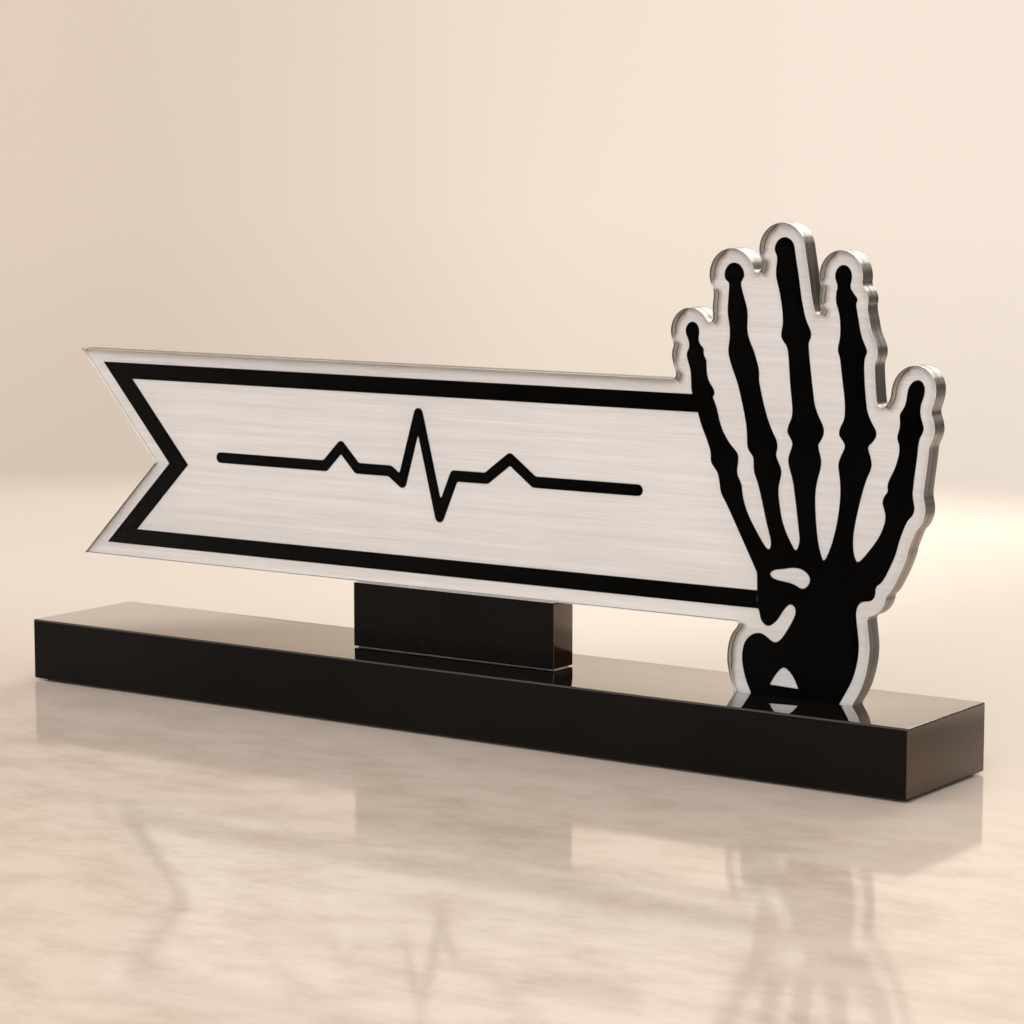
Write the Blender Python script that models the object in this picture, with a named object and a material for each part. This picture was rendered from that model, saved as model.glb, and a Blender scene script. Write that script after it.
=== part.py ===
"""Desk nameplate: a swallow-tailed banner that ends in a skeleton hand, on a black acrylic bar.

The plate is a stack of flat sheets with one outline: a clear front sheet, black cut shapes, a brushed
silver sheet and a black back sheet. A riser block carries the banner, and the wrist stands in a slot
in the bar. Sizes are in millimetres; X runs along the bar, Y goes away from the reader, Z is up, and
the origin is on the desk under the middle of the bar.
"""
import math

import bpy
import bmesh
import numpy as np
from mathutils import Vector
from mathutils.geometry import tessellate_polygon

MM = 0.001                  # metres in a millimetre
GLUE_GAP = 0.3              # room left for the glue between two pieces
FILM_GAP = 0.2              # room left for the adhesive film between two sheets of the plate

BASE_LENGTH = 300.0
BASE_DEPTH = 44.0
BASE_HEIGHT = 18.0
BASE_CHAMFER = 0.7
DESK_PAD_HEIGHT = 0.7       # thin non-slip sheet under the bar
DESK_PAD_INSET = 3.0

RISER_LENGTH = 70.0
RISER_DEPTH = 10.0
RISER_HEIGHT = 17.7
RISER_CHAMFER = 0.5
RISER_SHIFT = -3.2          # the riser stands this far from the middle of the bar
RISER_PAD_HEIGHT = 0.3      # clear mounting tape under the riser
RISER_PAD_INSET = 1.5       # from the riser's front and back
RISER_PAD_END_INSET = 0.5

FRONT_SHEET = 2.0           # thickness of the clear cover sheet
BLACK_SHEET = 0.2
SILVER_SHEET = 0.3
BACK_SHEET = 2.5            # thickness of the black backing sheet

BANNER_HEIGHT = 63.6
TAIL_INSET = 4.1            # from the left end of the bar to the tips of the tail
TAIL_ANGLE = 47.0           # degrees between the tail's cuts and the banner's edges, on average
TAIL_POINT_DROP = 2.0       # the tail's inner point lies this far below the banner's middle
MARGIN = 3.9                # silver left showing round the hand and outside the rails
TAIL_MARGIN = 3.5           # silver left outside the tail's black angle
NOTCH_RADIUS = 0.75         # the plate is cut with this radius in its inner corners
RAIL_WIDTH = 4.8
TAIL_STROKE = 5.5

HAND_INSET = 43.5           # from the right end of the bar to the hand's middle line
SLOT_DEPTH = 4.0            # the wrist goes this far into the bar
SLOT_CLEARANCE = 0.3

TRACE_INSET = 27.0          # from the tail's point and from the little finger to the pulse line
TRACE_STROKE = 3.2
TRACE_LIFT = 1.0            # the pulse line's level above the banner's middle
TRACE_PEAK = 17.0
TRACE_DIP = 12.0
TRACE_BUMP = 6.0

OUTLINE_STEP = 0.5          # spacing of the points that curves and level lines are worked out on
OUTLINE_ERROR = 0.025       # a straight run may leave the true curve by this much

# The bones: height above the banner's lower edge, middle line and width of each station. A finger's first
# two stations are the top of its tip and the tip's widest place.
FINGERS = {
    "little": [(78.9, -32.6, 0), (76.3, -32.6, 4.2), (74.2, -32.3, 3.2), (72.9, -31.8, 3.5),
               (71.8, -31.4, 4.6), (70.4, -31.7, 5.2), (69.0, -31.2, 5.8), (66.0, -30.6, 5.0),
               (63.4, -30.2, 5.5), (61.0, -29.4, 7.0), (60.0, -29.2, 6.9), (59.3, -29.3, 6.1),
               (57.5, -28.6, 6.3), (51.0, -26.4, 6.1), (47.5, -24.5, 6.7), (44.4, -22.6, 8.3),
               (42.0, -22.5, 8.3), (40.2, -22.0, 6.8), (39.0, -21.5, 6.1), (36.5, -20.6, 6.7),
               (34.0, -20.2, 6.6), (31.0, -18.9, 5.7), (27.0, -16.8, 5.4)],
    "ring": [(94.8, -20.0, 0), (91.5, -19.9, 5.9), (90.4, -20.0, 5.1), (89.5, -19.7, 3.7),
             (87.0, -19.4, 4.3), (82.0, -18.8, 6.0), (77.5, -18.5, 5.3), (75.0, -18.2, 5.9),
             (71.5, -17.6, 7.9), (69.0, -16.9, 8.1), (66.6, -16.1, 7.9), (64.2, -15.6, 6.9),
             (57.0, -13.7, 6.6), (52.0, -12.2, 7.4), (48.2, -11.1, 9.0), (46.4, -11.0, 8.9),
             (45.1, -10.8, 7.8), (43.9, -10.1, 7.3), (41.0, -9.4, 8.3), (39.8, -9.3, 8.1),
             (37.5, -9.1, 6.6), (35.5, -8.9, 5.7), (31.0, -8.0, 5.1), (27.0, -7.0, 5.0)],
    "middle": [(101.7, -4.9, 0), (98.4, -4.9, 5.9), (96.6, -4.4, 5.5), (92.0, -4.1, 6.6),
               (86.5, -3.0, 6.2), (82.0, -2.1, 6.5), (79.7, -1.6, 7.2), (77.2, -1.2, 8.7),
               (75.9, -1.3, 8.7), (74.6, -1.2, 7.4), (73.2, -0.7, 6.4), (63.0, 0.5, 6.6),
               (58.5, 1.1, 6.8), (55.5, 1.8, 8.0), (52.4, 1.9, 10.6), (51.0, 1.8, 10.6),
               (49.4, 1.9, 8.9), (48.2, 1.8, 7.7), (44.4, 1.7, 9.7), (42.8, 1.7, 9.6),
               (38.5, 1.8, 7.2), (35.0, 1.9, 6.1), (27.0, 2.7, 5.4)],
    "index": [(94.9, 12.4, 0), (91.9, 12.4, 4.8), (90.2, 12.5, 4.0), (89.2, 12.6, 3.7),
              (88.0, 12.8, 4.7), (86.2, 13.4, 6.2), (85.1, 13.3, 5.7), (82.5, 13.9, 5.3),
              (77.0, 14.7, 6.1), (74.8, 15.0, 7.4), (73.0, 15.2, 8.4), (71.2, 15.2, 7.2),
              (69.0, 15.3, 6.7), (58.2, 16.5, 6.4), (55.5, 16.9, 7.6), (52.5, 17.1, 10.6),
              (51.2, 17.0, 10.5), (49.8, 17.0, 8.6), (48.5, 16.8, 6.8), (45.5, 16.6, 8.8),
              (43.6, 16.4, 9.6), (40.0, 15.9, 7.7), (36.0, 15.4, 6.2), (28.5, 14.1, 5.3)],
    "thumb": [(66.3, 34.1, 0), (63.3, 33.6, 4.7), (61.0, 33.1, 4.4), (59.3, 32.6, 4.5),
              (57.4, 32.0, 5.8), (55.0, 32.4, 6.5), (53.8, 32.4, 6.8), (51.4, 31.6, 6.3),
              (49.3, 31.7, 5.3), (47.5, 31.6, 5.2), (44.0, 30.9, 5.7), (40.0, 29.7, 7.1),
              (38.6, 29.5, 7.3), (37.6, 29.5, 7.0), (36.2, 29.1, 8.1), (34.6, 29.0, 8.9),
              (33.4, 29.2, 8.8), (31.8, 29.2, 7.8), (30.4, 28.6, 6.4), (29.0, 28.1, 6.0)],
}
TIP_TURNS = (90, 60, 30)    # degrees round a fingertip at which its outline has points
# Where two bones part, and the outlines of the palm and wrist, as points across and up.
WEBS = {
    "little": [(-8.8, 19.9), (-8.1, 21.3)],
    "ring": [(-2.5, 22.8), (-0.6, 20.3), (0.4, 22.5)],
    "middle": [(6.4, 21.2), (7.7, 18.3), (9.6, 21.7)],
    "index": [(16.2, 24.0), (16.6, 20.3), (17.6, 18.7), (20.3, 21.1), (24.0, 26.2)],
}
PALM_TOP = (-12.2, 13.4)    # where the little finger's bone meets the side of the palm
PALM_FOOT = (-12.0, 4.6)
PALM_RIGHT = [(29.5, 25.0), (28.5, 21.5), (26.2, 16.5), (24.7, 14.0), (23.1, 12.5), (22.7, 10.1),
              (21.7, 8.9), (18.7, 8.1), (17.5, 6.0), (18.3, -4.4), (16.8, -11.7), (13.0, -18.9)]
WRIST_LEFT = [(-13.7, -18.9), (-15.5, -14.5), (-16.4, -10.0), (-15.8, -6.0), (-14.3, -3.9),
              (-12.2, -2.8), (-10.4, -2.8), (-8.2, -3.9), (-6.6, -4.7), (-5.0, -4.0), (-2.2, 0.0),
              (-0.5, 3.6), (-0.7, 5.1), (-2.0, 5.8), (-3.7, 4.5), (-6.2, 1.0), (-8.7, -0.5),
              (-10.6, 0.7), (-11.4, 3.0)]
PALM_HOLE = [(-8.2, 13.4), (-7.2, 14.4), (-4.3, 15.0), (-0.8, 15.6), (2.0, 15.0), (3.6, 13.3),
             (3.3, 11.5), (1.5, 10.3), (-0.5, 11.0), (-2.1, 11.5), (-6.0, 12.0), (-7.5, 12.5)]
# The plate's notches between the fingers end at these webs, drawn as lines from their tops down.
PLATE_WEBS = [[(-27.3, 77.6), (-26.6, 73.0)], [(-12.4, 90.3), (-11.0, 84.0), (-10.5, 79.0), (-10.6, 75.0)],
              [(6.3, 80.4), (7.3, 75.5)], [(24.7, 57.4), (24.0, 53.0)]]
PLATE_WEB_REACH = 1.7       # the plate is left whole this far round a web's line
WRIST_HOLE_SIDES = [(-7.8, -16.1), (-5.9, -13.0), (-3.6, -11.2), (-1.2, -13.0), (0.7, -16.4)]

# Heights above the desk and depths of the layers, from the sizes above.
BASE_BOTTOM = DESK_PAD_HEIGHT + GLUE_GAP
BASE_TOP = BASE_BOTTOM + BASE_HEIGHT
RISER_PAD_BOTTOM = BASE_TOP + GLUE_GAP
RISER_BOTTOM = RISER_PAD_BOTTOM + RISER_PAD_HEIGHT + GLUE_GAP
BANNER_BOTTOM = RISER_BOTTOM + RISER_HEIGHT + GLUE_GAP
PLATE_DEPTH = FRONT_SHEET + BLACK_SHEET + SILVER_SHEET + BACK_SHEET + 3 * FILM_GAP
HAND_X = BASE_LENGTH / 2 - HAND_INSET
TAIL_TIP = TAIL_INSET - BASE_LENGTH / 2 - HAND_X      # measured from the hand's middle line
FOOT = BASE_TOP - SLOT_DEPTH + GLUE_GAP - BANNER_BOTTOM
TAIL_DEPTH = BANNER_HEIGHT / 2 / math.tan(math.radians(TAIL_ANGLE))
TAIL_POINT = BANNER_HEIGHT / 2 - TAIL_POINT_DROP

COLOURS = {
    "black_acrylic": dict(colour=(0.012, 0.011, 0.010), roughness=0.12),
    "black_film": dict(colour=(0.006, 0.006, 0.006), roughness=0.30),
    "brushed_silver": dict(colour=(0.72, 0.69, 0.67), roughness=0.35, metallic=0.6),
    "clear_acrylic": dict(colour=(0.97, 0.98, 0.98), roughness=0.03, transmission=1.0),
    "clear_tape": dict(colour=(0.85, 0.84, 0.80), roughness=0.20, transmission=0.8),
    "rubber": dict(colour=(0.020, 0.018, 0.017), roughness=0.80),
}


def clear_scene():
    for thing in list(bpy.data.objects):
        bpy.data.objects.remove(thing, do_unlink=True)


def material(name):
    """The Principled material of that name, made the first time it is asked for."""
    made = bpy.data.materials.get(name)
    if made:
        return made
    finish = COLOURS[name]
    made = bpy.data.materials.new(name)
    made.use_nodes = True
    shader = made.node_tree.nodes["Principled BSDF"]
    shader.inputs["Base Color"].default_value = (*finish["colour"], 1.0)
    shader.inputs["Roughness"].default_value = finish["roughness"]
    shader.inputs["Metallic"].default_value = finish.get("metallic", 0.0)
    shader.inputs["Transmission Weight"].default_value = finish.get("transmission", 0.0)
    return made


def frame_empty(name, location, parent=None):
    empty = bpy.data.objects.new(name, None)
    empty.location = Vector(location) * MM
    empty.parent = parent
    bpy.context.collection.objects.link(empty)
    return empty


def add_object(name, bm, location, parent, finish):
    """Turn a bmesh in millimetres into a named object in metres."""
    bmesh.ops.scale(bm, vec=(MM, MM, MM), verts=bm.verts)
    bmesh.ops.recalc_face_normals(bm, faces=bm.faces)
    mesh = bpy.data.meshes.new(name)
    bm.to_mesh(mesh)
    bm.free()
    mesh.materials.append(material(finish))
    made = bpy.data.objects.new(name, mesh)
    made.location = Vector(location) * MM
    made.parent = parent
    bpy.context.collection.objects.link(made)
    return made


def block(name, size, bottom, parent, finish, chamfer=0.0):
    """A rectangular block of that size, standing on the point bottom."""
    bm = bmesh.new()
    bmesh.ops.create_cube(bm, size=1.0)
    bmesh.ops.scale(bm, vec=size, verts=bm.verts)
    bmesh.ops.translate(bm, vec=(0, 0, size[2] / 2), verts=bm.verts)
    made = add_object(name, bm, bottom, parent, finish)
    if chamfer:
        bevel = made.modifiers.new("chamfer", "BEVEL")
        bevel.width = chamfer * MM
        bevel.segments = 1
        bevel.limit_method = "ANGLE"
    return made


def sheet(name, outline, front, thickness, parent, finish, holes=()):
    """A flat sheet cut to an outline in X and Z, with its front face at depth front."""
    loops = [outline, *holes]
    corners = [[Vector((x, z, 0)) for x, z in loop] for loop in loops]
    points = [(x, front, z) for loop in loops for x, z in loop]
    bm = bmesh.new()
    verts = [bm.verts.new(point) for point in points]
    for triangle in tessellate_polygon(corners):
        bm.faces.new([verts[i] for i in triangle])
    faces = bmesh.ops.extrude_face_region(bm, geom=list(bm.faces))
    moved = [item for item in faces["geom"] if isinstance(item, bmesh.types.BMVert)]
    bmesh.ops.translate(bm, vec=(0, thickness, 0), verts=moved)
    made = add_object(name, bm, (0, 0, 0), parent, finish)
    made.data.shade_smooth()
    made.data.set_sharp_from_angle(angle=math.radians(30))
    return made


def spline(points):
    """A smooth line through the points: a centripetal Catmull-Rom curve, sampled every OUTLINE_STEP."""
    points = np.array(points, dtype=float)
    points = np.vstack([2 * points[0] - points[1], points, 2 * points[-1] - points[-2]])
    line = []
    for p0, p1, p2, p3 in zip(points, points[1:], points[2:], points[3:]):
        runs = ((p0, p1), (p1, p2), (p2, p3))
        knots = np.cumsum([0.0, *(math.sqrt(math.dist(a, b)) for a, b in runs)])
        count = max(2, math.ceil(math.dist(p1, p2) / OUTLINE_STEP))
        t = np.linspace(knots[1], knots[2], count, endpoint=False)[:, None]
        t0, t1, t2, t3 = knots
        a1 = ((t1 - t) * p0 + (t - t0) * p1) / (t1 - t0)
        a2 = ((t2 - t) * p1 + (t - t1) * p2) / (t2 - t1)
        a3 = ((t3 - t) * p2 + (t - t2) * p3) / (t3 - t2)
        b1 = ((t2 - t) * a1 + (t - t0) * a2) / (t2 - t0)
        b2 = ((t3 - t) * a2 + (t - t1) * a3) / (t3 - t1)
        line.append(((t2 - t) * b1 + (t - t1) * b2) / (t2 - t1))
    return np.vstack([*line, points[-2:-1]])


def closed_spline(points):
    """A smooth closed line: the open spline with two points repeated past each end, cut to one turn."""
    ring = spline([*points[-2:], *points, *points[:2]])
    start = np.argmin(np.hypot(*(ring - points[0]).T))
    after = len(ring) - 1 - np.argmin(np.hypot(*(ring[::-1] - points[0]).T))
    return ring[start:after]


def simplify(loop):
    """Leave out the points of a closed loop that lie within OUTLINE_ERROR of the line without them."""
    loop = np.asarray(loop)
    far = int(np.argmax(np.hypot(*(loop - loop[0]).T)))
    closed = np.vstack([loop, loop[:1]])
    keep = {0, far}
    spans = [(0, far), (far, len(loop))]
    while spans:
        first, last = spans.pop()
        if last - first < 2:
            continue
        run = closed[last] - closed[first]
        middle = closed[first + 1:last] - closed[first]
        along = np.clip(middle @ run / max(run @ run, 1e-12), 0, 1)
        error = np.hypot(*(middle - along[:, None] * run).T)
        worst = int(np.argmax(error))
        if error[worst] > OUTLINE_ERROR:
            split = first + 1 + worst
            keep.add(split)
            spans += [(first, split), (split, last)]
    return loop[sorted(keep)]


def distance_to(x, z, loop, closed=True):
    """The distance from each point to a line of straight runs, negative inside a closed one."""
    starts = np.asarray(loop, dtype=float)
    ends = np.roll(starts, -1, axis=0)
    if not closed:
        starts, ends = starts[:-1], ends[:-1]
    nearest = np.full(x.shape, np.inf)
    inside = np.zeros(x.shape, dtype=bool)
    for (ax, az), (bx, bz) in zip(starts, ends):
        run_x, run_z = bx - ax, bz - az
        along = np.clip(((x - ax) * run_x + (z - az) * run_z) / max(run_x ** 2 + run_z ** 2, 1e-12), 0, 1)
        np.minimum(nearest, (x - ax - along * run_x) ** 2 + (z - az - along * run_z) ** 2, out=nearest)
        if closed and az != bz:
            crosses = (az > z) != (bz > z)
            inside ^= crosses & (x < ax + (z - az) / run_z * run_x)
    return np.where(inside, -1.0, 1.0) * np.sqrt(nearest)


def grid_over(low, high):
    x, z = np.meshgrid(np.arange(low[0], high[0], OUTLINE_STEP), np.arange(low[1], high[1], OUTLINE_STEP))
    return x, z


def level_line(x, z, field, level):
    """The longest closed line on which the field has that level, by marching over the grid's squares."""
    value = field - level
    value[value == 0] = 1e-9
    below = value < 0
    cells = below[:-1, :-1] * 1 + below[:-1, 1:] * 2 + below[1:, 1:] * 4 + below[1:, :-1] * 8
    sides = {1: [(3, 0)], 2: [(0, 1)], 3: [(3, 1)], 4: [(1, 2)], 5: [(3, 0), (1, 2)], 6: [(0, 2)],
             7: [(3, 2)], 8: [(2, 3)], 9: [(2, 0)], 10: [(0, 1), (2, 3)], 11: [(2, 1)], 12: [(1, 3)],
             13: [(1, 0)], 14: [(0, 3)]}
    corners = ((0, 0), (0, 1), (1, 1), (1, 0))
    follows = {}
    places = {}
    for row, column in zip(*np.nonzero((cells > 0) & (cells < 15))):
        for pair in sides[cells[row, column]]:
            keys = []
            for side in pair:
                a, b = corners[side], corners[(side + 1) % 4]
                a = (row + a[0], column + a[1])
                b = (row + b[0], column + b[1])
                key = (min(a, b), max(a, b))
                share = value[a] / (value[a] - value[b])
                places[key] = (x[a] + share * (x[b] - x[a]), z[a] + share * (z[b] - z[a]))
                keys.append(key)
            follows[keys[0]] = keys[1]
    longest = []
    while follows:
        start = next(iter(follows))
        walk = [start]
        while walk[-1] in follows:
            walk.append(follows.pop(walk[-1]))
        if len(walk) > len(longest):
            longest = walk
    return np.array([places[key] for key in longest[:-1]])


def finger_edges(stations):
    """The points down the left and the right edge of a finger's bones, from the tip.

    From its widest place up, the tip is half an ellipse: at each turn the height goes with the sine,
    and the width with the cosine.
    """
    top, widest = stations[:2]
    tip = []
    for turn in map(math.radians, TIP_TURNS):
        height, middle, _ = (low + (high - low) * math.sin(turn) for high, low in zip(top, widest))
        tip.append((height, middle, widest[2] * math.cos(turn)))
    stations = [*tip, *stations[1:]]
    left = [(middle - width / 2, height) for height, middle, width in stations]
    right = [(middle + width / 2, height) for height, middle, width in stations[1:]]
    return left, right


def hand_outline(foot):
    """The black hand from the palm's left side round all five fingers and the wrist, down to foot."""
    round_fingers = [PALM_TOP]
    for name, stations in FINGERS.items():
        left, right = finger_edges(stations)
        round_fingers += [*reversed(left), *right, *WEBS.get(name, [])]
    fingers = spline([*round_fingers, *PALM_RIGHT])
    wrist = spline([*WRIST_LEFT, PALM_FOOT])
    right_foot = (fingers[-1][0], min(foot, fingers[-1][1] - OUTLINE_STEP))
    left_foot = (wrist[0][0], right_foot[1])
    return np.vstack([fingers, right_foot, left_foot, wrist])


def cut_at(loop, foot):
    """The loop without what lies below foot, closed by a straight line at that height."""
    kept = []
    for (ax, az), (bx, bz) in zip(loop, np.roll(loop, -1, axis=0)):
        if az >= foot:
            kept.append((ax, az))
        if (az >= foot) != (bz >= foot):
            kept.append((ax + (foot - az) / (bz - az) * (bx - ax), foot))
    return np.array(kept)


def tail_line(edge, height):
    """Where a cut of the tail that starts at X = edge on the banner's edges is at some height."""
    share = min(height / TAIL_POINT, (BANNER_HEIGHT - height) / (BANNER_HEIGHT - TAIL_POINT))
    return edge + share * TAIL_DEPTH


def plate_outline(hand):
    """The outline of the clear, silver and black backing sheets.

    Round the hand it is the line that lies MARGIN outside the bones, with the webs filled and the
    inner corners rounded: the line is first drawn NOTCH_RADIUS too far out and then brought back in.
    The banner's own edges and its tail are straight.
    """
    reach = MARGIN + NOTCH_RADIUS + 3 * OUTLINE_STEP
    low = hand.min(axis=0) - reach
    high = hand.max(axis=0) + reach
    join = low[0] - MARGIN
    banner = [(join - reach, 0), (0, 0), (0, BANNER_HEIGHT), (join - reach, BANNER_HEIGHT)]
    x, z = grid_over((join - 2 * reach, low[1]), high)
    field = np.minimum(distance_to(x, z, hand) - MARGIN, distance_to(x, z, banner))
    for web in PLATE_WEBS:
        field = np.minimum(field, distance_to(x, z, web, closed=False) - PLATE_WEB_REACH)
    outside = level_line(x, z, field, NOTCH_RADIUS)
    rounded = level_line(x, z, distance_to(x, z, outside), -NOTCH_RADIUS)
    rounded = cut_at(rounded, FOOT)
    past = rounded[:, 0] > join
    start = int(np.nonzero(past & ~np.roll(past, 1))[0][0])
    rounded = np.roll(rounded, -start, axis=0)
    around_hand = rounded[rounded[:, 0] > join]
    tail = [(TAIL_TIP, BANNER_HEIGHT), (tail_line(TAIL_TIP, TAIL_POINT), TAIL_POINT), (TAIL_TIP, 0)]
    if around_hand[0][1] > around_hand[-1][1]:
        tail.reverse()
    return np.vstack([simplify(around_hand), tail])


def border_outline(hand):
    """The black rails and the tail's angle, butted against the hand with a glue gap."""
    outer_edge = TAIL_TIP + TAIL_MARGIN / math.sin(math.radians(TAIL_ANGLE))
    inner_edge = outer_edge + TAIL_STROKE / math.sin(math.radians(TAIL_ANGLE))
    heights = {"low": (MARGIN, MARGIN + RAIL_WIDTH),
               "high": (BANNER_HEIGHT - MARGIN - RAIL_WIDTH, BANNER_HEIGHT - MARGIN)}
    ends = {name: rail_end(hand, *pair) for name, pair in heights.items()}
    outer = [(tail_line(outer_edge, h), h) for h in (BANNER_HEIGHT - MARGIN, TAIL_POINT, MARGIN)]
    inner = [(tail_line(inner_edge, h), h) for h in (heights["low"][1], TAIL_POINT, heights["high"][0])]
    return np.array([*outer, *ends["low"], *inner, *ends["high"]])


def crossings(loop, height):
    """Where a closed line crosses that height, from left to right."""
    found = []
    for (ax, az), (bx, bz) in zip(loop, np.roll(loop, -1, axis=0)):
        if (az > height) != (bz > height):
            found.append(ax + (height - az) / (bz - az) * (bx - ax))
    return sorted(found)


def rail_end(hand, bottom, top):
    """Points up the end of a rail, a glue gap to the left of the hand at each height."""
    heights = np.linspace(bottom, top, 5)
    return [(crossings(hand, height)[0] - 1.2 * GLUE_GAP, height) for height in heights]


def trace_outline(hand):
    """A plain pulse line in the banner's field: flat, a low bump, a peak, a dip, a bump, flat."""
    start = tail_line(TAIL_TIP, BANNER_HEIGHT / 2) + TRACE_INSET
    end = rail_end(hand, BANNER_HEIGHT / 2, BANNER_HEIGHT / 2)[0][0] - TRACE_INSET
    level = BANNER_HEIGHT / 2 + TRACE_LIFT
    shape = [(0.0, 0), (0.27, 0), (0.31, TRACE_BUMP), (0.35, 0), (0.43, 0), (0.46, -TRACE_BUMP / 2),
             (0.50, TRACE_PEAK), (0.55, -TRACE_DIP), (0.585, 0), (0.66, 0), (0.715, TRACE_BUMP),
             (0.77, 0), (1.0, 0)]
    line = [(start + share * (end - start), level + rise) for share, rise in shape]
    room = TRACE_STROKE / 2 + 2 * OUTLINE_STEP
    low = np.min(line, axis=0) - room
    high = np.max(line, axis=0) + room
    x, z = grid_over(low, high)
    return level_line(x, z, distance_to(x, z, line, closed=False), TRACE_STROKE / 2)


def build_stand(parent):
    """The bar with its desk pad, the riser and the tape under it."""
    pad_size = (BASE_LENGTH - 2 * DESK_PAD_INSET, BASE_DEPTH - 2 * DESK_PAD_INSET, DESK_PAD_HEIGHT)
    block("desk_pad", pad_size, (0, 0, 0), parent, "rubber")
    bar = block("base_bar", (BASE_LENGTH, BASE_DEPTH, BASE_HEIGHT), (0, 0, BASE_BOTTOM), parent,
                "black_acrylic", BASE_CHAMFER)
    tape_size = (RISER_LENGTH - 2 * RISER_PAD_END_INSET, RISER_DEPTH - 2 * RISER_PAD_INSET,
                 RISER_PAD_HEIGHT)
    block("riser_tape", tape_size, (RISER_SHIFT, 0, RISER_PAD_BOTTOM), parent, "clear_tape")
    block("riser_block", (RISER_LENGTH, RISER_DEPTH, RISER_HEIGHT), (RISER_SHIFT, 0, RISER_BOTTOM),
          parent, "black_acrylic", RISER_CHAMFER)
    return bar


def cut_wrist_slot(bar, outline, parent):
    """The slot in the bar that the foot of the plate stands in."""
    mouth = BASE_TOP - BANNER_BOTTOM
    foot = [*crossings(outline, mouth), *outline[outline[:, 1] < mouth][:, 0]]
    left, right = min(foot), max(foot)
    length = right - left + 2 * SLOT_CLEARANCE
    cutter = block("slot_cutter", (length, PLATE_DEPTH + 2 * SLOT_CLEARANCE, 2 * SLOT_DEPTH),
                   (HAND_X + (left + right) / 2, 0, BASE_TOP - SLOT_DEPTH), parent, "rubber")
    cutter.hide_render = True
    cutter.display_type = "WIRE"
    cut = bar.modifiers.new("wrist_slot", "BOOLEAN")
    cut.operation = "DIFFERENCE"
    cut.solver = "EXACT"
    cut.object = cutter


def build_plate(bar, parent):
    """The stack of sheets, from the clear front sheet to the black back sheet."""
    plate = frame_empty("plate_frame", (HAND_X, -PLATE_DEPTH / 2, BANNER_BOTTOM), parent)
    wrist_end = FOOT - 4 * MARGIN
    hand = hand_outline(wrist_end)
    outline = plate_outline(hand)
    black_front = FRONT_SHEET + FILM_GAP
    silver_front = black_front + BLACK_SHEET + FILM_GAP
    back_front = silver_front + SILVER_SHEET + FILM_GAP
    wrist_hole = [*spline(WRIST_HOLE_SIDES)]
    holes = [simplify(closed_spline(PALM_HOLE)), simplify(wrist_hole)]
    sheet("front_sheet", outline, 0, FRONT_SHEET, plate, "clear_acrylic")
    sheet("hand_bones", simplify(cut_at(hand, FOOT)), black_front, BLACK_SHEET, plate, "black_film",
          holes)
    sheet("border_band", border_outline(hand), black_front, BLACK_SHEET, plate, "black_film")
    sheet("pulse_line", simplify(trace_outline(hand)), black_front, BLACK_SHEET, plate, "black_film")
    sheet("silver_sheet", outline, silver_front, SILVER_SHEET, plate, "brushed_silver")
    sheet("back_sheet", outline, back_front, BACK_SHEET, plate, "black_acrylic")
    cut_wrist_slot(bar, outline, parent)


def main():
    clear_scene()
    nameplate = frame_empty("nameplate", (0, 0, 0))
    bar = build_stand(nameplate)
    build_plate(bar, nameplate)


main()
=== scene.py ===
"""Looks of the desk nameplate: a clear-fronted banner with a skeleton hand, on a black acrylic bar.

Lengths are in metres in the model's own frame: X along the bar, Y away from the reader, Z up.
"""

import math

import bpy
import bmesh
import numpy as np
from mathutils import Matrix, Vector
from mathutils.geometry import tessellate_polygon


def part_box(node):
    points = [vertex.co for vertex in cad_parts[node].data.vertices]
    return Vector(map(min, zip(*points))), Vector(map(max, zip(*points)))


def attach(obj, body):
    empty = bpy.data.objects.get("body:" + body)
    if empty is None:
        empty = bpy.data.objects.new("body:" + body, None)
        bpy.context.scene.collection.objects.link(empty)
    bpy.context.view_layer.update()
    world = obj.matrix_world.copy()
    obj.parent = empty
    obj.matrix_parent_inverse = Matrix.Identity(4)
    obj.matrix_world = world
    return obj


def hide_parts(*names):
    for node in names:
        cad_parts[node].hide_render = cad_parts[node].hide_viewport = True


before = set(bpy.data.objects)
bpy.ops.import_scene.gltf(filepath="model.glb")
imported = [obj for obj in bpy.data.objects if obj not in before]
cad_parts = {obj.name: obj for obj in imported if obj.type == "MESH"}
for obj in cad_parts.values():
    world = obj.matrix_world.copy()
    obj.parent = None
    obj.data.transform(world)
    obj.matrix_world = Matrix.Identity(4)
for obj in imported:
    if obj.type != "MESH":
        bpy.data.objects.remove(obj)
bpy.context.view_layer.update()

MM = 0.001
HAIR = 0.02 * MM             # room between two layers that lie on each other

# The lines that the sheets are cut along.
SAME_PLACE = 1e-7            # corners closer than this are one corner
STRAIGHT = 4.2 * MM          # a run longer than this is a straight one
SHARP_BEND = 35.0            # degrees at which a bend stays a corner
FINE_STEP = 0.35 * MM        # spacing of the points on the curved stretches

# How far the pieces' edges are broken, and the radii of their upright corners.
ARC_STEPS = 5                # bands on each quarter circle
PLATE_ARRIS = 0.08 * MM      # at the plate's front and back
SHEET_ARRIS = 0.02 * MM      # where two of its sheets meet
FILM_ARRIS = 0.05 * MM       # on the black shapes
BAR_ARRIS = 0.45 * MM
BAR_CORNER = 0.8 * MM
RISER_ARRIS = 0.30 * MM
RISER_CORNER = 0.5 * MM
TAPE_CORNER = 0.4 * MM

# Fits between the pieces.
SLOT_FLOOR = 4.0 * MM        # depth of the slot that the wrist stands in
TAPE_HEIGHT = 0.28 * MM      # the riser's tape once it is pressed down
RISER_RISE = 0.28 * MM       # brings the riser up to the banner's foot
BORDER_REACH = 0.34 * MM     # lets the border's ends out to meet the hand
BESIDE_HAND = 4.0 * MM       # its ends are what comes this close to the hand's left side

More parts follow.
